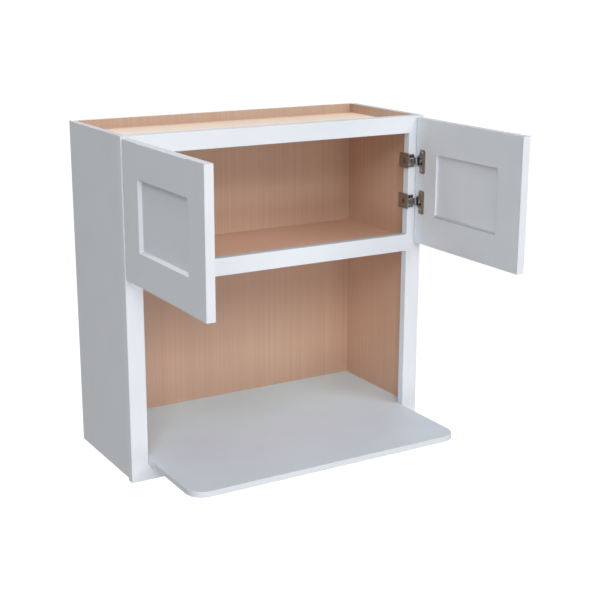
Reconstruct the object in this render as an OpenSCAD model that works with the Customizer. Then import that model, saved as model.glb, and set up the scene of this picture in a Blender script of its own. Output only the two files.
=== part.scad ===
// Wall cabinet for a microwave oven: a doored compartment over an open bay
// with a deep shelf. Framed construction, painted outside, veneered inside.
// X runs across, +Y runs back to the wall, +Z is up, and the doors stand open.
// The origin is the middle of the face that lies against the wall.

/* [Cabinet] */
// Overall width, over the side panels
cabinet_w = 762; // [610:1:914]
// Height of the face frame
frame_h = 762; // [740:1:920]
// Depth from the frame's front to the wall, without the shelf's overhang
cabinet_d = 304; // [280:1:360]
// Thickness of the two side panels
side_t = 16; // [12:0.5:19]
// Height of the side panels' lower edge above the frame's
side_lift = 6; // [3:0.5:12]
// Thickness of the back panel
back_t = 13; // [9:0.5:16]
// Distance that the back panel stands in from each side
back_inset = 6; // [3:0.5:10]
// Thickness of the top panel and of the deck
deck_t = 16; // [12:0.5:19]
// Depth of the well above the top panel
top_well = 21.6; // [15:0.1:30]
// Depth of the housings in the sides that hold the top panel and the deck
housing_d = 6; // [3:0.5:8]

/* [Face frame] */
// Thickness of the face frame
frame_t = 19; // [16:0.5:22]
// Width of the two stiles
stile_w = 40; // [32:0.5:50]
// Height of the top and the middle rail
rail_h = 40; // [32:0.5:50]
// Height of the bottom rail, which carries the shelf
bottom_rail_h = 38; // [25:0.5:50]
// Height of the middle rail's lower edge above the frame's
mid_rail_z = 441; // [380:1:460]
// Length of the tenons on the rails
tenon_l = 18; // [10:0.5:24]
// Thickness of the tenons
tenon_t = 7; // [5:0.5:9]
// Width of the shoulder above and below a tenon
shoulder = 5; // [3:0.5:8]
// Width of the chamfer that eases the frame's front edges
frame_arris = 1; // [0.5:0.1:2]

/* [Microwave shelf] */
// Thickness of the shelf
shelf_t = 12.5; // [9:0.5:19]
// Distance that the shelf stands out in front of the frame
shelf_reach = 226; // [100:1:260]
// Radius of the shelf's two front corners
shelf_corner_r = 40; // [10:1:80]
// Gap between the shelf and each stile
shelf_gap = 0.5; // [0.2:0.1:1]
// Width of the chamfer round the shelf's front
shelf_arris = 0.7; // [0.5:0.1:3]

/* [Doors] */
// Width of one door
door_w = 374; // [300:0.5:376]
// Height of one door
door_h = 296; // [240:1:298]
// Distance of the doors' upper edge below the frame's
door_drop = 5; // [3:0.5:8]
// Gap between the two shut doors
doors_apart = 3; // [2:0.5:5]
// Gap between a shut door and the frame
door_gap = 3; // [3:0.1:4]
// Angle at which both doors stand open
open_angle = 90; // [0:1:105]
// Width of the doors' stiles and rails
member_w = 77; // [60:0.5:90]
// Width of the bevel round the panel, on the outer face
bevel_w = 5; // [3:0.5:8]
// Depth of that bevel
bevel_d = 7.5; // [5:0.5:9]
// Depth of the plain lip round the panel, on the inner face
lip_d = 5; // [4:0.5:6]
// Thickness of the doors' panel
panel_t = 6.5; // [5:0.5:8]
// Depth of the groove that holds the panel
groove_d = 10; // [6:0.5:12]
// Width of the chamfer that eases the doors' outer edges
arris = 1; // [0.5:0.1:2]

/* [Hinges] */
// Distance of a hinge's centre from the door's nearer end
hinge_inset = 100; // [70:1:110]
// Distance of the pivot from the door's hinge edge
pivot_s = 7; // [6.8:0.1:7.4]
// Depth of the pivot behind the door's inner face
pivot_t = 8; // [7.8:0.1:8.2]
// Diameter of the cup's bore in the door
cup_dia = 26; // [26:0.1:27]
// Depth of the cup
cup_depth = 11.6; // [11.5:0.1:12]
// Distance of the cup's centre from the door's hinge edge
cup_s = 15.3; // [15.2:0.1:15.6]
// Height of the wing plate that holds the cup to the door
wing_h = 56; // [48:1:60]
// Distance of each cup screw above or below the hinge's centre
cup_screw_z = 20.5; // [19:0.5:22]
// Height of the plate on the stile
plate_h = 35; // [32:0.5:38]
// Depth of the plate on the stile
plate_d = 35; // [30:0.5:38]

/* [Hidden] */
$fn = 48;
eps = 0.1;

SIDES = ["left", "right"];
LEVELS = ["upper", "lower"];
HINGE_PARTS = ["plate", "arm", "pin", "cup", "spring"];
DOOR_PARTS = ["hinge_stile", "free_stile", "top_rail", "bottom_rail", "panel", "cup_screws"];

PAINT = "#f1f3f6";
VENEER = "#d9a582";
BIRCH = "#ead6bb";
SHELF_PAINT = "#dfe3e8";
STEEL = "#85878a";
SCREW_STEEL = "#a7a9ac";

half_w = cabinet_w / 2;
opening_w = cabinet_w - 2 * stile_w;
stile_x = opening_w / 2;
side_in = half_w - side_t;
back_y = cabinet_d - back_t;

// Lower edge and height of each rail of the face frame
BOTTOM_RAIL = [0, bottom_rail_h];
MIDDLE_RAIL = [mid_rail_z, rail_h];
TOP_RAIL = [frame_h - rail_h, rail_h];

shelf_z = bottom_rail_h;
deck_drop = 16;
deck_z = mid_rail_z + rail_h - deck_drop - deck_t;
top_z = frame_h - top_well - deck_t;

door_t = lip_d + panel_t + bevel_d;

door_z = frame_h - door_drop - door_h;
reveal = half_w - door_w - doors_apart / 2;
pivot_x = half_w - reveal - pivot_s;
pivot_y = -(door_gap + pivot_t);

// Hinge: sheet metal thicknesses and the parts round the pivot
cup_r = cup_dia / 2;
cup_wall = 0.8;
cup_rim = 1;
flange_t = 1;
wing_w = 21.5;
wing_r = 5;
wing_s = 13.5;
mouth_s = 4.8;
mouth_w = 19.2;
mouth_h = 16.4;
mouth_r = 2.5;
cup_screw_s = 21.5;
cup_screw_r = 1.6;
cup_screw_l = 13;
cup_head_r = 3.4;
cup_head_h = 1;
pin_r = 1.2;
pin_l = 17.6;
pin_play = 0.05;
knuckle_r = 2.5;
knuckle_h = 10;
arm_t = 1.5;
arm_h = 14.4;
arm_riser_t = 2.4;
arm_riser_x = 12;
arm_foot_w = 15;
arm_foot_h = 30;
arm_foot_t = 1.5;
arm_foot_r = 1.5;
arm_pocket = [4.8, 4.4];
arm_pocket_floor = 0.3;
arm_pockets_x = [1.8, 8.4];
arm_pockets_y = 8;
arm_rivets = [[3.4, 5.4], [9, 5.4], [2.8, -8.2]];
arm_rivet_r = 1.3;
arm_rivet_h = 0.3;
adjuster_at = [7, -1.6];
adjuster_r = 3.4;
adjuster_d = 0.4;
adjuster_slot = [1.2, 5];
arm_bend_r = 3;
arm_clear = 3.2;
spring_wire = 0.7;
spring_turns = 2;
spring_pitch = 0.6;
spring_gap = 0.2;
plate_t = 1.5;
plate_lip = 3;
plate_nose = 4;
plate_slot = [5, 11.5];
plate_slot_r = 2.4;
plate_slot_floor = 0.4;
plate_screw_y = 14.5;
plate_screw_r = 1.8;
plate_screw_l = 18;
plate_head_r = 3.5;
plate_head_h = 1.2;

back_screw_r = 1.8;
back_screw_l = 30;
back_head_r = 3.8;
back_head_h = 0.9;
back_screw_count = 5;
back_screw_margin = 50;

// Screw heads: how far they draw in to the top, and their cross recess
head_crown = 0.8;
recess_reach = 0.72;
recess_w = 1.5;
recess_d = 1.6;

cleat_w = 18;
cleat_t = bottom_rail_h - side_lift;

// --- Placing helpers ---------------------------------------------------

// Everything below is drawn from the frame's front and lower edge.
module from_wall() translate([0, -cabinet_d, -frame_h / 2]) children();

// Draws a right-hand piece, or its mirror image on the left
module on_side(side) {
    if (side == "right") children();
    else mirror([1, 0, 0]) children();
}

// A door's own frame: X from the hinge edge, Y from the inner face, Z up
module on_door(side)
    on_side(side)
        translate([pivot_x, pivot_y, door_z])
            rotate([0, 0, 180 + open_angle])
                translate([-pivot_s, -pivot_t, 0])
                    children();

// Height of a hinge's centre above the door's lower edge
function hinge_z(level) = level == "upper" ? door_h - hinge_inset : hinge_inset;

// The middle of a box on X, with its low Y and Z corner given
module centred_box(size, y, z) translate([-size[0] / 2, y, z]) cube(size);

// A screw along +Z: a raised head above z = 0 and a shank below it
module screw(head_r, head_h, shank_r, shank_l) {
    translate([0, 0, -shank_l]) cylinder(r = shank_r, h = shank_l + eps);
    cylinder(r1 = head_r, r2 = head_r * head_crown, h = head_h);
}

// Cuts the cross that a screwdriver turns a screw by
module cross_recessed(head_r, head_h)
    difference() {
        children();
        for (turn = [0, 90])
            rotate([0, 0, turn])
                translate([-head_r * recess_reach, -recess_w / 2, head_h - recess_d])
                    cube([2 * head_r * recess_reach, recess_w, recess_d + eps]);
    }

// --- Face frame ---------------------------------------------------------

module tenons(rail)
    centred_box([opening_w + 2 * tenon_l, tenon_t, rail[1] - 2 * shoulder],
                (frame_t - tenon_t) / 2, rail[0] + shoulder);

// A square rod along +Z that planes a chamfer off the edge it is laid on
module arris_rod(length)
    rotate([0, 0, 45])
        translate([-frame_arris / sqrt(2), -frame_arris / sqrt(2), 0])
            cube([frame_arris * sqrt(2), frame_arris * sqrt(2), length]);

// The two openings between the rails: [lower edge, upper edge]
OPENINGS = [
    [bottom_rail_h, mid_rail_z],
    [mid_rail_z + rail_h, frame_h - rail_h]
];

module frame_rail(rail, eased_edges)
    color(PAINT) difference() {
        union() {
            centred_box([opening_w, frame_t, rail[1]], 0, rail[0]);
            tenons(rail);
        }
        for (z = eased_edges)
            translate([-opening_w / 2, 0, z]) rotate([0, 90, 0]) arris_rod(opening_w);
    }

module frame_stile(side)
    color(PAINT) on_side(side) difference() {
        translate([stile_x, 0, 0]) cube([stile_w, frame_t, frame_h]);
        for (rail = [BOTTOM_RAIL, MIDDLE_RAIL, TOP_RAIL]) tenons(rail);
        for (level = LEVELS) plate_screw_place(level) plate_screw();
        translate([half_w, 0, -eps]) arris_rod(frame_h + 2 * eps);
        for (opening = OPENINGS)
            translate([stile_x, 0, opening[0]]) arris_rod(opening[1] - opening[0]);
    }

// --- Box ----------------------------------------------------------------

module side_panel(side)
    color(PAINT) on_side(side) difference() {
        translate([side_in, frame_t, side_lift])
            cube([side_t, back_y - frame_t, frame_h - side_lift]);
        for (z = [deck_z, top_z]) housed_board(z);
        back_screw_places() back_screw();
    }

// A board between the sides, let into their housings
module housed_board(z)
    centred_box([2 * (side_in + housing_d), back_y - frame_t, deck_t], frame_t, z);

module top_panel() color(BIRCH) housed_board(top_z);
module deck() color(VENEER) housed_board(deck_z);

module back_panel()
    color(VENEER) difference() {
        centred_box([cabinet_w - 2 * back_inset, back_t, frame_h - side_lift], back_y, side_lift);
        back_screw_places() back_screw();
    }

module side_cleat(side)
    color(VENEER) on_side(side)
        translate([side_in - cleat_w, frame_t, side_lift])
            cube([cleat_w, back_y - frame_t, cleat_t]);

module rear_shelf_cleat()
    color(VENEER)
        centred_box([2 * (side_in - cleat_w), cleat_w, cleat_t], back_y - cleat_w, side_lift);

// Screws go through the back into the rear edges of both sides
module back_screw_places() {
    lowest = side_lift + back_screw_margin;
    pitch = (frame_h - back_screw_margin - lowest) / (back_screw_count - 1);
    for (side = SIDES, i = [0 : back_screw_count - 1])
        on_side(side)
            translate([side_in + side_t / 2, cabinet_d - back_head_h, lowest + i * pitch])
                rotate([-90, 0, 0])
                    children();
}

module back_screw() screw(back_head_r, back_head_h, back_screw_r, back_screw_l);

module back_screws()
    color(SCREW_STEEL) back_screw_places() cross_recessed(back_head_r, back_head_h) back_screw();

// --- Microwave shelf ----------------------------------------------------

// Section of the shelf's edge, from a corner's centre out to the eased edge
module shelf_edge_section()
    polygon([
        [0, 0],
        [shelf_corner_r - shelf_arris, 0],
        [shelf_corner_r, shelf_arris],
        [shelf_corner_r, shelf_t - shelf_arris],
        [shelf_corner_r - shelf_arris, shelf_t],
        [0, shelf_t]
    ]);

// The right half of the lip: a front edge, a revolved corner and a side edge
module shelf_half_lip() {
    corner_x = opening_w / 2 - shelf_gap - shelf_corner_r;
    corner_y = shelf_corner_r - shelf_reach;
    translate([corner_x, corner_y, 0]) {
        rotate([0, 0, -90]) rotate_extrude(angle = 90) shelf_edge_section();
        rotate([90, 0, -90]) linear_extrude(corner_x + eps) shelf_edge_section();
        translate([0, frame_t - corner_y + eps, 0])
            rotate([90, 0, 0]) linear_extrude(frame_t - corner_y + eps) shelf_edge_section();
    }
    translate([-eps, corner_y - eps, 0]) cube([corner_x + 2 * eps, frame_t - corner_y + eps, shelf_t]);
}

// The lip passes between the stiles, and the rest fills the box behind them
module microwave_shelf()
    color(SHELF_PAINT) translate([0, 0, shelf_z]) {
        centred_box([2 * side_in, back_y - frame_t, shelf_t], frame_t, 0);
        for (side = SIDES) on_side(side) shelf_half_lip();
    }

// --- Doors --------------------------------------------------------------

// The moulded edge of a stile or rail: inner lip, panel groove, outer bevel
MOULDED_EDGE = [
    [member_w, 0],
    [member_w, lip_d],
    [member_w - groove_d, lip_d],
    [member_w - groove_d, lip_d + panel_t],
    [member_w, lip_d + panel_t],
    [member_w - bevel_w, door_t]
];

// Section of a stile or rail: X from the door's edge, Y from the inner face
module member_section()
    polygon(concat([[0, 0]], MOULDED_EDGE, [[arris, door_t], [0, door_t - arris]]));

// A rail seen from its edge: both ends are coped to fit the stiles' moulding
module cope_section()
    polygon(concat(
        MOULDED_EDGE,
        [for (i = [len(MOULDED_EDGE) - 1 : -1 : 0]) [door_w - MOULDED_EDGE[i][0], MOULDED_EDGE[i][1]]]
    ));

module door_rail_bar()
    intersection() {
        translate([door_w, 0, 0])
            rotate([0, -90, 0])
                linear_extrude(door_w) member_section();
        linear_extrude(member_w) cope_section();
    }

module door_hinge_stile(side)
    color(PAINT) on_door(side) difference() {
        linear_extrude(door_h) member_section();
        for (level = LEVELS) translate([0, 0, hinge_z(level)]) {
            translate([cup_s, -eps, 0]) rotate([-90, 0, 0]) cylinder(r = cup_r, h = cup_depth + eps);
            cup_screw_places() cup_screw();
        }
    }

module door_free_stile(side)
    color(PAINT) on_door(side)
        translate([door_w, 0, 0]) mirror([1, 0, 0])
            linear_extrude(door_h) member_section();

module door_bottom_rail(side) color(PAINT) on_door(side) door_rail_bar();

module door_top_rail(side)
    color(PAINT) on_door(side)
        translate([0, 0, door_h]) mirror([0, 0, 1]) door_rail_bar();

module door_panel(side) {
    play = 1;
    edge = member_w - groove_d + play;
    color(PAINT) on_door(side)
        translate([edge, lip_d, edge])
            cube([door_w - 2 * edge, panel_t, door_h - 2 * edge]);
}

// --- Hinges -------------------------------------------------------------

// Cup side, in the door's frame: Y = 0 is the door's inner face

// Draws a flat outline (X from the door's edge, Y up) as a sheet on that face
module on_inner_face(thickness)
    rotate([90, 0, 0]) linear_extrude(thickness) children();

// A rectangle with rounded corners, from x = 0 outwards and centred on y = 0
module rounded_rect(size, r)
    translate([0, -size[1] / 2]) {
        translate([0, r]) square([size[0], size[1] - 2 * r]);
        translate([r, 0]) square([size[0] - 2 * r, size[1]]);
        for (x = [r, size[0] - r], y = [r, size[1] - r]) translate([x, y]) circle(r = r);
    }

module cup_flange_outline() {
    translate([cup_s, 0]) circle(r = cup_r + cup_rim);
    translate([wing_s, 0]) rounded_rect([wing_w, wing_h], wing_r);
}

module cup_mouth_outline() translate([mouth_s, 0]) rounded_rect([mouth_w, mouth_h], mouth_r);

module along_pin(r, length)
    translate([0, 0, -length / 2]) cylinder(r = r, h = length);

module at_pivot(side, level)
    on_door(side) translate([pivot_s, pivot_t, hinge_z(level)]) children();

module cup_screw_places()
    for (dz = [-cup_screw_z, cup_screw_z])
        translate([cup_screw_s, -flange_t, dz])
            rotate([90, 0, 0])
                children();

module cup_screw() screw(cup_head_r, cup_head_h, cup_screw_r, cup_screw_l);

module hinge_cup(side, level)
    color(STEEL) on_door(side) translate([0, 0, hinge_z(level)]) difference() {
        union() {
            translate([cup_s, 0, 0]) rotate([-90, 0, 0]) cylinder(r = cup_r, h = cup_depth);
            on_inner_face(flange_t) cup_flange_outline();
        }
        translate([cup_s, 0, 0])
            rotate([-90, 0, 0]) cylinder(r = cup_r - cup_wall, h = cup_depth - cup_wall);
        translate([0, eps, 0]) on_inner_face(flange_t + 2 * eps) cup_mouth_outline();
        translate([pivot_s, pivot_t, 0]) along_pin(pin_r, pin_l);
        cup_screw_places() cup_screw();
    }

module hinge_pin(side, level)
    color(SCREW_STEEL) at_pivot(side, level) along_pin(pin_r, pin_l);

// A closely wound coil at each end of the pin presses the door shut
module hinge_spring(side, level) {
    spring_start = knuckle_h / 2 + spring_gap + spring_wire / 2;
    color(STEEL) at_pivot(side, level)
        for (end = [-1, 1], turn = [0 : spring_turns - 1])
            translate([0, 0, end * (spring_start + turn * spring_pitch)])
                rotate_extrude()
                    translate([pin_r + spring_wire / 2 + pin_play, 0]) circle(d = spring_wire);
}

module door_cup_screws(side)
    color(SCREW_STEEL) on_door(side)
        for (level = LEVELS)
            translate([0, 0, hinge_z(level)])
                cup_screw_places() cross_recessed(cup_head_r, cup_head_h) cup_screw();

// Frame side, from the stile: X outwards from its inner edge, Y = 0 its front

module at_stile(side, level)
    on_side(side) translate([stile_x, 0, door_z + hinge_z(level)]) children();

// Side view of the arm: a foot on the stile, a riser and a bar to the pivot
module arm_bar_section(reach) {
    top_y = pivot_y - knuckle_r;
    translate([arm_riser_x, top_y + arm_bend_r]) square([arm_riser_t, -top_y - arm_bend_r]);
    translate([arm_riser_x + arm_bend_r, top_y]) square([reach - arm_riser_x - arm_bend_r, arm_t]);
    intersection() {
        translate([arm_riser_x, top_y]) square(arm_bend_r);
        translate([arm_riser_x + arm_bend_r, top_y + arm_bend_r]) difference() {
            circle(r = arm_bend_r);
            circle(r = arm_bend_r - arm_t);
        }
    }
}

module hinge_arm(side, level) {
    pivot_reach = pivot_x - stile_x;
    color(STEEL) at_stile(side, level) difference() {
        union() {
            rotate([90, 0, 0]) linear_extrude(arm_foot_t)
                rounded_rect([arm_foot_w, arm_foot_h], arm_foot_r);
            rotate([90, 0, 0]) linear_extrude(arm_foot_t + arm_rivet_h)
                for (place = arm_rivets) translate(place) circle(r = arm_rivet_r);
            translate([0, 0, -arm_h / 2])
                linear_extrude(arm_h) arm_bar_section(pivot_reach - arm_clear);
            translate([0, 0, -knuckle_h / 2])
                linear_extrude(knuckle_h) {
                    arm_bar_section(pivot_reach);
                    translate([pivot_reach, pivot_y]) circle(r = knuckle_r);
                }
        }
        translate([pivot_reach, pivot_y, 0]) along_pin(pin_r + pin_play, knuckle_h + 2 * eps);
        arm_foot_cuts();
    }
}

// Two pressed pockets in the foot, and the sunk head of the adjusting cam
module arm_foot_cuts()
    rotate([90, 0, 0]) {
        translate([0, 0, arm_pocket_floor]) linear_extrude(arm_foot_t) {
            for (x = arm_pockets_x) translate([x, arm_pockets_y]) square(arm_pocket);
            translate(adjuster_at) square(adjuster_slot, center = true);
        }
        translate([adjuster_at[0], adjuster_at[1], arm_foot_t - adjuster_d])
            cylinder(r = adjuster_r, h = adjuster_d + eps);
    }

// A plate on the stile's edge, with a folded lip at top and bottom and a
// sunk upright slot for its screw
module hinge_plate(side, level)
    color(STEEL) at_stile(side, level) difference() {
        translate([0, 0, -plate_h / 2]) {
            linear_extrude(plate_h) {
                translate([-plate_t, 0]) square([plate_t, plate_d]);
                translate([-plate_lip, -arm_foot_t]) square([plate_lip, plate_nose + arm_foot_t]);
            }
            for (z = [0, plate_h - plate_t])
                translate([-plate_lip, 0, z]) cube([plate_lip, plate_d, plate_t]);
        }
        translate([-plate_t - eps, plate_screw_y - plate_slot[0] / 2, 0])
            rotate([90, 0, 90]) linear_extrude(plate_t + eps - plate_slot_floor)
                rounded_rect(plate_slot, plate_slot_r);
        translate([-plate_t, plate_screw_y, 0]) rotate([0, -90, 0]) plate_screw();
    }

module plate_screw() screw(plate_head_r, plate_head_h, plate_screw_r, plate_screw_l);

module plate_screw_place(level)
    at_stile("right", level) translate([-plate_t, plate_screw_y, 0]) rotate([0, -90, 0]) children();

module hinge_plate_screws()
    color(SCREW_STEEL)
        for (side = SIDES, level = LEVELS)
            on_side(side)
                plate_screw_place(level)
                    cross_recessed(plate_head_r, plate_head_h) plate_screw();

// --- Assembly -----------------------------------------------------------

from_wall() frame_stile("left");  // left_stile
from_wall() frame_stile("right");  // right_stile
from_wall() frame_rail(TOP_RAIL, [OPENINGS[1][1]]);  // top_rail
from_wall() frame_rail(MIDDLE_RAIL, [OPENINGS[0][1], OPENINGS[1][0]]);  // middle_rail
from_wall() frame_rail(BOTTOM_RAIL, []);  // bottom_rail
from_wall() side_panel("left");  // left_side_panel
from_wall() side_panel("right");  // right_side_panel
from_wall() back_panel();
from_wall() top_panel();
from_wall() deck();
from_wall() microwave_shelf();
from_wall() side_cleat("left");  // left_shelf_cleat
from_wall() side_cleat("right");  // right_shelf_cleat
from_wall() rear_shelf_cleat();
from_wall() back_screws();
from_wall() hinge_plate_screws();

for (side = SIDES) {
    door = str(side, "_door_");
    from_wall() door_hinge_stile(side);
    from_wall() door_free_stile(side);
    from_wall() door_top_rail(side);
    from_wall() door_bottom_rail(side);
    from_wall() door_panel(side);
    from_wall() door_cup_screws(side);
}

for (side = SIDES, level = LEVELS) {
    hinge = str(side, "_", level, "_hinge_");
    from_wall() hinge_plate(side, level);
    from_wall() hinge_arm(side, level);
    from_wall() hinge_pin(side, level);
    from_wall() hinge_cup(side, level);
    from_wall() hinge_spring(side, level);
}
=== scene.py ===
# %% [markdown]
# # A microwave wall cabinet, dressed for its portrait
# The carcass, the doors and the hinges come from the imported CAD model, so every size is already right. What is
# left to do here is what a finisher and a photographer do: lacquer, veneer, plated steel, light and a camera.
# The origin is the middle of the back, against the wall. X runs right, Y runs back and Z runs up, in metres.

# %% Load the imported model
import math

import bmesh
import bpy
from mathutils import Matrix, Vector

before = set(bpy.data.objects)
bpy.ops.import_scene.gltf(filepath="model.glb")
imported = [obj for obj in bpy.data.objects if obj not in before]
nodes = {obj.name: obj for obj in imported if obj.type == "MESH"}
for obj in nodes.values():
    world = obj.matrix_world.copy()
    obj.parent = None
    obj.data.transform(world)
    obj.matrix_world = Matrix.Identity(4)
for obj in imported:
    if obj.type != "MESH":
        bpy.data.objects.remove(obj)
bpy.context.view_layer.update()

# %% [markdown]
# ## Colours and shader nodes
# A paint chart gives a colour in sRGB hex, while the renderer works in linear light, so one function turns the
# first into the second. A finish could be wired by hand in the shader editor. In a script it is shorter to have
# one function that adds a node with its settings and its links, and to build every finish from it.

# %% Colour and node helpers
def linear(code):
    """An sRGB hex colour as linear RGBA."""
    parts = [int(code[i:i + 2], 16) / 255 for i in (1, 3, 5)]
    return tuple(p / 12.92 if p <= 0.04045 else ((p + 0.055) / 1.055) ** 2.4 for p in parts) + (1.0,)


def add(tree, kind, inputs=None, stops=(), **settings):
    """Adds a node. inputs maps a socket's name or number to a value, or to the output that feeds it. stops are
    the two places and colours of a colour ramp."""
    node = tree.nodes.new(kind)
    for name, value in settings.items():
        setattr(node, name, value)
    for socket, value in (inputs or {}).items():
        if isinstance(value, bpy.types.NodeSocket):
            tree.links.new(value, node.inputs[socket])
        else:
            node.inputs[socket].default_value = value
    if stops:
        for stop, (position, colour) in zip(node.color_ramp.elements, stops):
            stop.position, stop.color = position, colour
    return node


def new_material(name):
    """A node material without nodes, and its tree."""
    material = bpy.data.materials.new(name)
    material.use_nodes = True
    material.node_tree.nodes.clear()
    return material, material.node_tree


print("middle grey in linear light:", round(linear("#808080")[0], 3))

# %% Pattern coordinates
def coordinates(tree, scale):
    """Object coordinates, scaled per axis: a scale of 1 / size draws features of that size in metres."""
    place = add(tree, "ShaderNodeTexCoord")
    return add(tree, "ShaderNodeMapping", {"Vector": place.outputs["Object"], "Scale": scale}).outputs[0]


print("patterns read object coordinates, so they stay on a door that swings")

# %% [markdown]
# ## One piece, several faces
# A board of a cabinet is one piece with unlike faces: lacquer outside, veneer inside, and an edge that the spray
# gun hardly reached. Faces could be given material slots of their own, but a CAD piece keeps its mesh as it is.
# Its flat faces lie at known places, so a mask on its coordinates tells them apart inside one material.

# %% Colours by place
X, Y, Z = 0, 1, 2
MM = 0.001
SKIN = 0.3 * MM         # how far under a flat face its mask begins


def along_axis(tree, axis):
    """How far a point lies along an axis."""
    place = add(tree, "ShaderNodeTexCoord").outputs["Object"]
    return add(tree, "ShaderNodeSeparateXYZ", {0: place}).outputs[axis]


def step_mask(tree, axis, edge, absolute=False):
    """1 beyond an edge on one axis and 0 before it. An absolute edge counts to both ends of the axis."""
    value = along_axis(tree, axis)
    if absolute:
        value = add(tree, "ShaderNodeMath", {0: value}, operation="ABSOLUTE").outputs[0]
    return add(tree, "ShaderNodeMath", {0: value, 1: edge}, operation="GREATER_THAN").outputs[0]


def split_colour(tree, axis, edge, before, beyond, absolute=False):
    """One colour before an edge on an axis, and another beyond it."""
    mask = step_mask(tree, axis, edge, absolute)
    # a Mix node has a set of sockets for each kind of value: 6 and 7 in, and 2 out, are its colours
    return add(tree, "ShaderNodeMix", {"Factor": mask, 6: before, 7: beyond}, data_type="RGBA").outputs[2]


def fade_colour(tree, axis, span, before, beyond):
    """A colour that turns evenly into another over a span of an axis."""
    start, end = span
    mask = add(tree, "ShaderNodeMapRange", {
        "Value": along_axis(tree, axis), "From Min": start, "From Max": end}).outputs[0]
    return add(tree, "ShaderNodeMix", {"Factor": mask, 6: before, 7: beyond}, data_type="RGBA").outputs[2]


print("a mask begins", round(SKIN / MM, 1), "mm under its face")

# %% [markdown]
# ## White lacquer
# The frame, the doors and the sides are sprayed with a satin conversion varnish: a pigmented coat, fine-grained
# like the skin of an orange when the light rakes it, and a little uneven where the gun overlapped. A plain white
# would look like plastic, so the colour drifts by a percent over a hand's width, and noise gives a very fine bump.

# %% Lacquer
PEEL_MM = 2.5           # the real skin has cells of about 1 mm; drawn coarser so that it shows
PEEL_DEPTH = 0.2 * MM
PEEL_STRENGTH = 0.06
CLOUD_MM = 90
CLOUD_RANGE = 0.3, 0.7
COAT_IOR = 1.5
SATIN = 0.42            # roughness of the sprayed coat


def lacquer_colour(tree, shade, deeper):
    """The drifting white of a sprayed coat."""
    clouds = add(tree, "ShaderNodeTexNoise", {
        "Vector": coordinates(tree, (1000 / CLOUD_MM,) * 3), "Scale": 1.0, "Detail": 3.0, "Roughness": 0.5})
    low, high = CLOUD_RANGE
    return add(tree, "ShaderNodeValToRGB", {"Fac": clouds.outputs["Fac"]},
               stops=[(low, linear(deeper)), (high, linear(shade))]).outputs["Color"]


def coat(tree, colour, rough=SATIN):
    """Finishes a material with a sprayed or rolled coat over a colour, with its orange peel."""
    peel = add(tree, "ShaderNodeTexNoise", {
        "Vector": coordinates(tree, (1000 / PEEL_MM,) * 3), "Scale": 1.0, "Detail": 2.0, "Roughness": 0.45})
    bump = add(tree, "ShaderNodeBump", {
        "Height": peel.outputs["Fac"], "Strength": PEEL_STRENGTH, "Distance": PEEL_DEPTH})
    shader = add(tree, "ShaderNodeBsdfPrincipled", {
        "Base Color": colour, "Roughness": rough, "IOR": COAT_IOR, "Normal": bump.outputs["Normal"]})
    add(tree, "ShaderNodeOutputMaterial", {"Surface": shader.outputs[0]})


print("orange peel:", PEEL_MM, "mm, clouds:", CLOUD_MM, "mm")

# %% [markdown]
# The face frame's white is painted a shade brighter than the sides', for the light on the faces that look to the
# front: painted light. Its upper edges are painted greyer for the shade on faces that look up, and the stiles'
# inner edges a touch cooler against the warm light that the veneer throws on them: painted shade and painted
# light.

# %% Lacquer on the face frame
CABINET_TOP = 381 * MM
MIDDLE_RAIL_TOP = 100 * MM
STILE_INNER_X = 341 * MM
# painted light: the frame's white is a shade brighter than the sides' white
FRAME_PAINTED_LIGHT_WHITE = "#eef2f8", "#ebeff5"
# painted shade: the greyer whites of the upper edges and of the middle rail's top
TOP_PAINTED_SHADE_WHITE = "#b8bcc2", "#b4b8be"
RAIL_TOP_PAINTED_SHADE_WHITE = "#c4d2d9", "#c0ced5"
# painted light: the stiles' inner edges are cooler, against the veneer's warm bounced light
STILE_EDGE_BOUNCE_CANCEL_WHITE = "#eaf6ff", "#e7f3fe"


def with_painted_shade_top(tree, colour, top, top_shade):
    """Upper edges get a greyer colour: painted shade on the faces that look up."""
    return split_colour(tree, Z, top - SKIN, colour, lacquer_colour(tree, *top_shade))


frame_lacquer, tree = new_material("white_satin_lacquer")
white = lacquer_colour(tree, *FRAME_PAINTED_LIGHT_WHITE)
coat(tree, with_painted_shade_top(tree, white, CABINET_TOP, TOP_PAINTED_SHADE_WHITE))

rail_lacquer, tree = new_material("middle_rail_satin_lacquer")
white = lacquer_colour(tree, *FRAME_PAINTED_LIGHT_WHITE)
coat(tree, with_painted_shade_top(tree, white, MIDDLE_RAIL_TOP, RAIL_TOP_PAINTED_SHADE_WHITE))

stile_lacquer, tree = new_material("stile_satin_lacquer")
white = split_colour(tree, X, STILE_INNER_X + SKIN,
                     lacquer_colour(tree, *STILE_EDGE_BOUNCE_CANCEL_WHITE), lacquer_colour(tree, *FRAME_PAINTED_LIGHT_WHITE), absolute=True)
coat(tree, with_painted_shade_top(tree, white, CABINET_TOP, TOP_PAINTED_SHADE_WHITE))
print("frame:", frame_lacquer.name, rail_lacquer.name, stile_lacquer.name)

# %% [markdown]
# ## Maple veneer
# The inside is faced with a printed maple foil. Its figure is quiet: soft upright streaks a few millimetres
# wide that run the full height, with finer and darker hairs between them. A photograph of veneer could be wrapped
# round the boards. Noise stretched a hundred times along the grain draws it without one, once broad and once fine.

# %% Wood grain
STREAK_MM = 7
HAIR_MM = 3.2           # real hairs are under 1 mm wide; drawn coarser so that they show
GRAIN_MM = 700
HAIR_SHARE = 0.65
FIGURE_RANGE = 0.32, 0.68


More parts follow.
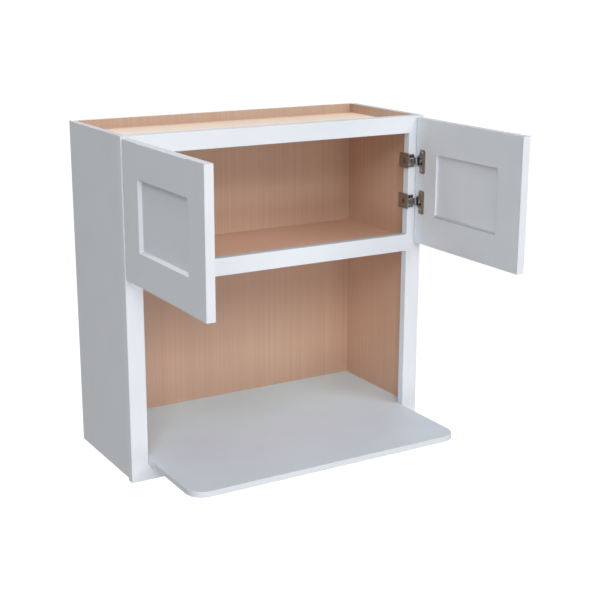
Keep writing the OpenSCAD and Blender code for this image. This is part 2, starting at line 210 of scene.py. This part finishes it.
def grained(tree, along, light, dark):
    """The streaked colour of a wood whose grain runs along one axis."""
    def stretched(width):
        return tuple(1000 / (GRAIN_MM if axis == along else width) for axis in (X, Y, Z))
    broad = add(tree, "ShaderNodeTexNoise", {
        "Vector": coordinates(tree, stretched(STREAK_MM)), "Scale": 1.0, "Detail": 3.0, "Roughness": 0.55,
        "Distortion": 0.3})
    hairs = add(tree, "ShaderNodeTexNoise", {
        "Vector": coordinates(tree, stretched(HAIR_MM)), "Scale": 1.0, "Detail": 2.0, "Roughness": 0.6})
    # 2 and 3 are the Mix node's plain numbers
    figure = add(tree, "ShaderNodeMix", {
        "Factor": HAIR_SHARE, 2: broad.outputs["Fac"], 3: hairs.outputs["Fac"]})
    low, high = FIGURE_RANGE
    return add(tree, "ShaderNodeValToRGB", {"Fac": figure.outputs[0]},
               stops=[(low, linear(dark)), (high, linear(light))]).outputs["Color"]


print("grain:", STREAK_MM, "mm streaks and", HAIR_MM, "mm hairs,", GRAIN_MM, "mm long")

# %% [markdown]
# The deck's veneer lies level and runs across, and the cleats under the shelf are planed pine. The top panel is
# bare birch plywood. Nobody sees it once the cabinet hangs, so it stays unsealed, and its raised fibres catch the
# light that grazes them: a sheen does that. Its back, in the corner of the well, is painted browner for the shade
# and the warm light from the rim there: painted shade and painted light.

# %% Level boards
DECK_MAPLE = "#d9b39c", "#d5af98"
PINE = "#e0bd93", "#cfa677"
BIRCH_FRONT = "#fffdf6", "#fdf9ec"
# painted shade and painted warm bounce at the back of the well
BIRCH_BACK_PAINTED_SHADE_AND_BOUNCE = "#eccab2", "#e6c1a8"
BACK_INNER_Y = -13 * MM
BIRCH_SHADE_FADE_Y = -200 * MM, BACK_INNER_Y
FIBRE_LIGHT = "#fff4e2"
FOIL_ROUGH, SAWN_ROUGH, PLANED_ROUGH = 0.5, 0.6, 0.65

level_veneer, tree = new_material("maple_veneer_level")
coat(tree, grained(tree, X, *DECK_MAPLE), FOIL_ROUGH)

raw_pine, tree = new_material("planed_pine")
coat(tree, grained(tree, X, *PINE), PLANED_ROUGH)

top_birch, tree = new_material("birch_plywood")
birch = fade_colour(tree, Y, BIRCH_SHADE_FADE_Y, grained(tree, X, *BIRCH_FRONT), grained(tree, X, *BIRCH_BACK_PAINTED_SHADE_AND_BOUNCE))
fibres = add(tree, "ShaderNodeBsdfPrincipled", {
    "Base Color": birch, "Roughness": SAWN_ROUGH, "IOR": COAT_IOR,
    "Sheen Weight": 1.0, "Sheen Roughness": 0.35, "Sheen Tint": linear(FIBRE_LIGHT)})
add(tree, "ShaderNodeOutputMaterial", {"Surface": fibres.outputs[0]})
print("level boards:", level_veneer.name, raw_pine.name, top_birch.name)

# %% [markdown]
# ## Two-faced panels
# A side panel has lacquer outside and foil inside, and the back panel has foil in front and raw veneer behind.
# The foil of the compartment and that of the open bay below are two tints of one maple, each matched to the light
# in its bay: painted light. Round the well on top the foil is painted darker: painted shade. All of this is told
# by place, so each panel stays one piece.

# %% Panels with two faces
SIDE_INNER_X = 365 * MM
DECK_Z = 80 * MM
WELL_FLOOR_Z = 359.4 * MM
LACQUER_WHITE = "#ebeff5", "#e8ecf2"
# painted shade: the greyer tops of the sides and of the back
SIDE_TOP_PAINTED_SHADE_WHITE = "#a9adb3", "#a5a9af"
BACK_TOP_PAINTED_SHADE_WHITE = "#dcdcdc", "#d6d6d6"
# painted light: two tints of one maple, each matched to the light in its bay
BAY_PAINTED_LIGHT_MAPLE = "#deb8a0", "#cfaa91"
COMPARTMENT_PAINTED_LIGHT_MAPLE = "#dcbca7", "#cdae98"
# painted shade: the rim round the well is darker
SIDE_RIM_PAINTED_SHADE_MAPLE = "#c5a793", "#b99883"
BACK_RIM_PAINTED_SHADE_MAPLE = "#c9ae9b", "#bd9f8a"
PANEL_SATIN = 0.45


def inner_veneer(tree, rim_shade):
    """The foil of the bay and of the compartment, tinted to their light, and the rim round the well, painted
    darker for shade.
    """
    below = split_colour(tree, Z, DECK_Z, grained(tree, Z, *BAY_PAINTED_LIGHT_MAPLE), grained(tree, Z, *COMPARTMENT_PAINTED_LIGHT_MAPLE))
    return split_colour(tree, Z, WELL_FLOOR_Z, below, grained(tree, Z, *rim_shade))


side_finish, tree = new_material("lacquer_outside_veneer_inside")
outside = with_painted_shade_top(tree, lacquer_colour(tree, *LACQUER_WHITE), CABINET_TOP, SIDE_TOP_PAINTED_SHADE_WHITE)
faces = split_colour(tree, X, SIDE_INNER_X + SKIN, inner_veneer(tree, SIDE_RIM_PAINTED_SHADE_MAPLE), outside, absolute=True)
coat(tree, faces, PANEL_SATIN)

back_finish, tree = new_material("back_panel_veneer_and_plain_rear")
rear = with_painted_shade_top(tree, grained(tree, Z, *PINE), CABINET_TOP, BACK_TOP_PAINTED_SHADE_WHITE)
faces = split_colour(tree, Y, BACK_INNER_Y + SKIN, inner_veneer(tree, BACK_RIM_PAINTED_SHADE_MAPLE), rear)
coat(tree, faces, FOIL_ROUGH)
print("panels:", side_finish.name, back_finish.name)

# %% [markdown]
# ## Doors
# The doors wear the same lacquer. Their upper edges are painted greyer like the frame's, for the shade on faces
# that look up, and their inner faces are painted a little cooler against the veneer's warm light: painted shade
# and painted light. The lower rail's inward bevel, and the panel under the upper lip, along its lower edge at the
# back and along the free stile, are painted duller for the shade in the moulding: painted shade. A door has its
# faces at fixed distances from the cabinet's middle in the pose in which it was drawn, standing open, so masks on
# X, Y and Z tell them apart.

# %% Lacquer on the doors
DOOR_TOP = 376 * MM
DOOR_INNER_X = 360.5 * MM
DOOR_MIDDLE_X = 370 * MM
DOOR_RAIL_BEVEL_Z = 152.2 * MM
# painted light: the doors' inner faces are cooler, against the veneer's warm bounced light
DOOR_BACK_BOUNCE_CANCEL_WHITE = "#e9f0f6", "#e6edf3"
# painted shade on the lower rail's inward bevel
BEVEL_PAINTED_SHADE_WHITE = "#c8ced4", "#c4cad0"

door_lacquer, tree = new_material("door_satin_lacquer")
white = split_colour(tree, X, DOOR_INNER_X + SKIN,
                     lacquer_colour(tree, *DOOR_BACK_BOUNCE_CANCEL_WHITE), lacquer_colour(tree, *LACQUER_WHITE), absolute=True)
coat(tree, with_painted_shade_top(tree, white, DOOR_TOP, TOP_PAINTED_SHADE_WHITE))

lower_rail_lacquer, tree = new_material("door_lower_rail_satin_lacquer")
front = lacquer_colour(tree, *LACQUER_WHITE)
rear = split_colour(tree, Z, DOOR_RAIL_BEVEL_Z,
                    lacquer_colour(tree, *DOOR_BACK_BOUNCE_CANCEL_WHITE), lacquer_colour(tree, *BEVEL_PAINTED_SHADE_WHITE))
coat(tree, split_colour(tree, X, DOOR_MIDDLE_X, rear, front, absolute=True))
print("doors:", door_lacquer.name, lower_rail_lacquer.name)

# %% Lacquer on the door panels
FIELD_LOW_Z, FIELD_HIGH_Z = 157 * MM, 299 * MM
FIELD_FREE_Y = -605 * MM
LIP_SHADE_Z = FIELD_HIGH_Z - 9 * MM, FIELD_HIGH_Z - 1 * MM
LOW_SHADE_LINE, FREE_SHADE_LINE = 1.2 * MM, 2 * MM
# painted shade: a fade under the upper lip on the front, and lines along the lower edge at the back and the free
# stile
PANEL_PAINTED_SHADE_WHITE = "#cfd4da", "#cbd0d6"

panel_lacquer, tree = new_material("door_panel_satin_lacquer")
panel_painted_shade = lacquer_colour(tree, *PANEL_PAINTED_SHADE_WHITE)
front = fade_colour(tree, Z, LIP_SHADE_Z, lacquer_colour(tree, *LACQUER_WHITE), panel_painted_shade)
rear = split_colour(tree, Z, FIELD_LOW_Z + LOW_SHADE_LINE, panel_painted_shade, lacquer_colour(tree, *DOOR_BACK_BOUNCE_CANCEL_WHITE))
field = split_colour(tree, X, DOOR_MIDDLE_X, rear, front, absolute=True)
coat(tree, split_colour(tree, Y, FIELD_FREE_Y + FREE_SHADE_LINE, panel_painted_shade, field))
print("door panels:", panel_lacquer.name)

# %% [markdown]
# ## Shelf foil
# The microwave shelf is particle board in a white melamine foil, pressed on in a heated press and duller than the
# lacquer. Its colour is painted cooler than the lacquer, and cooler still towards the back, to cancel the warm
# light
# that the veneer throws on it: painted light. The front and the sides carry an edge band of the frame's white.

# %% Shelf foil
SHELF_TOP = -330.5 * MM
FOIL_BOUNCE_CANCEL_Y = -330 * MM, -20 * MM
FOIL_THICKNESS = 0.4 * MM
# painted light: the foil is cooled against the veneer's warm bounce, more towards the back
FOIL_FRONT_BOUNCE_CANCEL = "#dfeaf5", "#dce7f2"
FOIL_BACK_BOUNCE_CANCEL = "#ddf6ff", "#daf3ff"

shelf_foil, tree = new_material("white_melamine_foil")
foil = fade_colour(tree, Y, FOIL_BOUNCE_CANCEL_Y, lacquer_colour(tree, *FOIL_FRONT_BOUNCE_CANCEL), lacquer_colour(tree, *FOIL_BACK_BOUNCE_CANCEL))
banded = split_colour(tree, Z, SHELF_TOP - FOIL_THICKNESS, lacquer_colour(tree, *LACQUER_WHITE), foil)
coat(tree, banded, PANEL_SATIN)
print("shelf:", shelf_foil.name)

# %% [markdown]
# ## Plated steel
# The hinges are mild steel, rolled, stamped and nickel-plated: a cool grey mirror blurred by the rolling marks.
# Their screws are zinc-plated and brighter, except the plate's, which are painted dark for the shade of the slot
# they sit in: painted shade. Pockets, slots and the cup are painted near black for the shade inside them, the
# arm's bend is painted darker to hold back its highlight, and the rivets' domes and the knuckle are painted bright
# for
# their highlights: painted shade and painted highlights. Separate parts could be modelled for each of these, but
# they are under a millimetre deep, and masks by place show them as well.

# %% Steel
MARK_MM = 3, 3, 0.8     # rolling marks, drawn coarser than real ones so that they show
MARK_RANGE = 0.3, 0.7


def plated_steel(name, shade, deeper, rough, masks=(), highlight_x=None):
    """Rolled sheet steel with a bright plating. Each mask (axis, edge, side, colour) recolours what lies on one
    side of an edge: above it, or outside or inside it on both ends of the axis. Past the x given last, the steel
    is not metal, so a white mask there makes a painted highlight."""
    material, tree = new_material(name)
    marks = add(tree, "ShaderNodeTexNoise", {
        "Vector": coordinates(tree, tuple(1000 / size for size in MARK_MM)), "Scale": 1.0, "Detail": 2.0})
    low, high = MARK_RANGE
    colour = add(tree, "ShaderNodeValToRGB", {"Fac": marks.outputs["Fac"]},
                 stops=[(low, linear(deeper)), (high, linear(shade))]).outputs["Color"]
    for axis, edge, side, other in masks:
        pair = (linear(other), colour) if side == "inside" else (colour, linear(other))
        colour = split_colour(tree, axis, edge, *pair, absolute=side != "above")
    metal = 1.0
    if highlight_x:
        metal = add(tree, "ShaderNodeMath", {0: 1.0, 1: step_mask(tree, X, highlight_x, True)},
                    operation="SUBTRACT").outputs[0]
    shader = add(tree, "ShaderNodeBsdfPrincipled", {"Base Color": colour, "Metallic": metal, "Roughness": rough})
    add(tree, "ShaderNodeOutputMaterial", {"Surface": shader.outputs[0]})
    return material


# painted shade: the plate's screws are dark for the shade of the slot round them
screw_painted_shade = plated_steel("plated_steel_painted_shade", "#5a5857", "#4c4a49", 0.25)
screw_zinc = plated_steel("zinc_plated_steel", "#a3a2a2", "#8f8e8e", 0.35)
print("screws:", screw_painted_shade.name, screw_zinc.name)

# %% Hinges
NICKEL = "#aba8a5", "#9b9895", 0.3
ARM_NICKEL = "#8d8a87", "#7b7875", 0.5
# painted shade: the near black put into the cup, the plate's slot and the arm's pockets
PAINTED_SHADE_BLACK = "#1d1c1b"
FRAME_FRONT_Y = -304 * MM
PLATE_SLOT_X = 340.3 * MM
CUP_INSIDE_X = DOOR_INNER_X + 0.6 * MM
KNUCKLE_X = DOOR_INNER_X + 2.6 * MM
ARM_BEND_X = DOOR_INNER_X - 2.5 * MM
FOOT_EDGE_X = STILE_INNER_X + 0.5 * MM
RIVET_Y = FRAME_FRONT_Y - 1.9 * MM
FOOT_Y = FRAME_FRONT_Y - 1.65 * MM
POCKET_Y = FRAME_FRONT_Y - 0.6 * MM

hinge_nickel = plated_steel("nickel_plated_steel", *NICKEL, [(X, CUP_INSIDE_X, "outside", PAINTED_SHADE_BLACK)])
plate_nickel = plated_steel("nickel_plated_plate", *NICKEL, [(X, PLATE_SLOT_X, "outside", PAINTED_SHADE_BLACK)])
arm_nickel = plated_steel("nickel_plated_arm", *ARM_NICKEL, [
    # painted shade and highlights: rivet domes and knuckle bright, the bend darker, pockets and cup inside near
    # black
    (Y, RIVET_Y, "above", "#efefee"),           # the rivets' domes: painted highlight
    (Y, FOOT_Y, "above", "#84817e"),            # the foot that they stand on
    (Y, POCKET_Y, "above", PAINTED_SHADE_BLACK),       # the floors of its pockets: painted shade
    (X, ARM_BEND_X, "outside", "#5d5b59"),      # the bend, darker: painted shade against its highlight
    (X, CUP_INSIDE_X, "outside", PAINTED_SHADE_BLACK),
    (X, KNUCKLE_X, "outside", "#f2f2f0"),       # the knuckle, a non-metal white: painted highlight
    (X, FOOT_EDGE_X, "inside", "#d3d6d2")],     # the foot's edge, a lighter grey
    highlight_x=KNUCKLE_X)
print("hinges:", hinge_nickel.name, plate_nickel.name, arm_nickel.name)

# %% [markdown]
# ## Putting the finishes on
# A CAD piece keeps its mesh and only its material slots change. A table says which finish each piece of its own
# kind wears, and the rest, which comes in families such as hinge cups or door stiles, is told by its name.

# %% Dress the CAD pieces
FINISHES = {
    "top_panel": top_birch,
    "deck": level_veneer,
    "microwave_shelf": shelf_foil,
    "back_panel": back_finish,
    "left_side_panel": side_finish,
    "right_side_panel": side_finish,
    "left_shelf_cleat": raw_pine,
    "right_shelf_cleat": raw_pine,
    "rear_shelf_cleat": raw_pine,
    "hinge_plate_screws": screw_painted_shade,
    "middle_rail": rail_lacquer,
    "left_stile": stile_lacquer,
    "right_stile": stile_lacquer,
    "left_door_bottom_rail": lower_rail_lacquer,
    "right_door_bottom_rail": lower_rail_lacquer,
    "left_door_panel": panel_lacquer,
    "right_door_panel": panel_lacquer,
}


def finish_of(name):
    """The finish that a piece wears."""
    if name in FINISHES:
        return FINISHES[name]
    if "screws" in name or name.endswith("_hinge_pin"):
        return screw_zinc
    if name.endswith("_hinge_arm"):
        return arm_nickel
    if name.endswith("_hinge_plate"):
        return plate_nickel
    if "_door_" in name:
        return door_lacquer
    if "_hinge_" in name:
        return hinge_nickel
    return frame_lacquer


def wear(name, material):
    """Gives a CAD piece one finish in all its slots."""
    slots = nodes[name].material_slots
    for slot in slots:
        slot.material = material
    if not slots:
        nodes[name].data.materials.append(material)


for name in nodes:
    wear(name, finish_of(name))
    print(f"{name}: {finish_of(name).name}")

# %% [markdown]
# ## Studio
# The picture is a catalogue cut-out: white all round, lit softly. White paper could be hung behind the cabinet
# and lit until it clips, but that light would fall on the cabinet too. Here the surround is white only to the
# camera and in mirrors, and the light comes from lamps. The cabinet hangs, so the floor lies far below it, still
# takes its shadow, and throws back a little light from below.

# %% Floor
FLOOR_Z = -1750 * MM
FLOOR_HALF = 30

floor_mesh = bmesh.new()
bmesh.ops.create_grid(floor_mesh, x_segments=1, y_segments=1, size=FLOOR_HALF)
bmesh.ops.translate(floor_mesh, vec=(0, 0, FLOOR_Z), verts=floor_mesh.verts)
floor_data = bpy.data.meshes.new("studio_floor")
floor_mesh.to_mesh(floor_data)
floor_mesh.free()
floor = bpy.data.objects.new("studio_floor", floor_data)
bpy.context.scene.collection.objects.link(floor)
print("floor at", FLOOR_Z, "m")

# %% Floor paint
FLOOR_GREY = "#808080"


def seen_directly(tree):
    """1 where the studio is looked at, straight or in a mirror or glass, and 0 where it lights the cabinet."""
    rays = add(tree, "ShaderNodeLightPath").outputs
    seen = rays["Is Camera Ray"]
    for ray in ("Is Glossy Ray", "Is Transmission Ray"):
        seen = add(tree, "ShaderNodeMath", {0: seen, 1: rays[ray]}, operation="MAXIMUM").outputs[0]
    return seen


floor_paint, tree = new_material("studio_floor_white")
lift = add(tree, "ShaderNodeEmission", {"Color": (1, 1, 1, 1), "Strength": seen_directly(tree)})
matt = add(tree, "ShaderNodeBsdfDiffuse", {"Color": linear(FLOOR_GREY)})
lifted = add(tree, "ShaderNodeAddShader", {0: matt.outputs[0], 1: lift.outputs[0]})
add(tree, "ShaderNodeOutputMaterial", {"Surface": lifted.outputs[0]})
floor_data.materials.append(floor_paint)
print("floor paint:", floor_paint.name)

# %% White surround
DOME = 0.1

world = bpy.data.worlds.new("studio_dome")
bpy.context.scene.world = world
world.use_nodes = True
world.node_tree.nodes.clear()
strength = add(world.node_tree, "ShaderNodeMapRange", {
    "Value": seen_directly(world.node_tree), "To Min": DOME, "To Max": 1.0})
dome = add(world.node_tree, "ShaderNodeBackground", {"Color": (1, 1, 1, 1), "Strength": strength.outputs[0]})
add(world.node_tree, "ShaderNodeOutputWorld", {"Surface": dome.outputs[0]})
print("dome strength:", DOME)

# %% [markdown]
# The lamps are large and far off, so the light is even over the doors and the shadows stay soft. Three high ones
# in front give the frame its brightness, and the left one is the strongest. Three strips below the shelf's height
# reach into the bays and on to the left side, and one behind and one steeply above light the well on top.

# %% Lamps
AIM = Vector((0, -0.3, 0))
LAMP_DISTANCE = 6.4
SQUARE, STRIP = (2.6, 2.6), (2.6, 1.2)
# name: azimuth and elevation that it shines from in degrees, width and height in metres, power in watts
LAMPS = {
    "high_left": (-30, 35, SQUARE, 139),
    "high_middle": (0, 35, SQUARE, 41),
    "high_right": (30, 35, SQUARE, 105),
    "top_left": (-30, 62, SQUARE, 50),
    "low_left": (-60, -9, STRIP, 49),
    "low_middle": (0, -9, STRIP, 64),
    "low_right": (30, -9, STRIP, 14),
    "behind": (180, 50, SQUARE, 232),
}


def direction(azimuth, elevation):
    """The way from the cabinet to a lamp or camera: azimuth from the front to the right, elevation up."""
    a, e = math.radians(azimuth), math.radians(elevation)
    return Vector((math.sin(a) * math.cos(e), -math.cos(a) * math.cos(e), math.sin(e)))


for name, (azimuth, elevation, size, power) in LAMPS.items():
    data = bpy.data.lights.new(f"lamp_{name}", "AREA")
    data.shape = "RECTANGLE"
    data.size, data.size_y = size
    data.energy = power
    lamp = bpy.data.objects.new(f"lamp_{name}", data)
    toward = direction(azimuth, elevation)
    turn = toward.to_track_quat("Z", "Y").to_matrix().to_4x4()
    lamp.matrix_world = Matrix.Translation(AIM + toward * LAMP_DISTANCE) @ turn
    bpy.context.scene.collection.objects.link(lamp)
    print(f"{lamp.name}: {power} W")

# %% [markdown]
# ## Camera
# The picture's vanishing points give the view: the camera stands off to the left, a little above the middle, and
# is tilted down by 15 degrees. The lens is long, so the sides keep nearly parallel lines. Placing it by angles
# and a distance round a target is easier to match with a picture than typing its position.

# %% Camera
AZIMUTH, ELEVATION, ROLL = -30.781, 15.256, 0.192
DISTANCE = 2.8139
LENS, SENSOR_WIDTH = 73.71, 36
TARGET = Vector((0.04577, -0.304, -0.02185))

back = direction(AZIMUTH, ELEVATION)
right = Vector((0, 0, 1)).cross(back).normalized()
up = back.cross(right)
roll = math.radians(ROLL)
turned_right = right * math.cos(roll) + up * math.sin(roll)
turned_up = up * math.cos(roll) - right * math.sin(roll)
axes = Matrix((turned_right, turned_up, back)).transposed()

camera_data = bpy.data.cameras.new("portrait_camera")
camera_data.lens = LENS
camera_data.sensor_width = SENSOR_WIDTH
camera_data.clip_end = 100
camera = bpy.data.objects.new("portrait_camera", camera_data)
camera.matrix_world = Matrix.Translation(TARGET + back * DISTANCE) @ axes.to_4x4()
bpy.context.scene.collection.objects.link(camera)
bpy.context.scene.camera = camera
bpy.context.scene.view_settings.view_transform = "Standard"
print("camera at", [round(value, 3) for value in camera.matrix_world.translation])
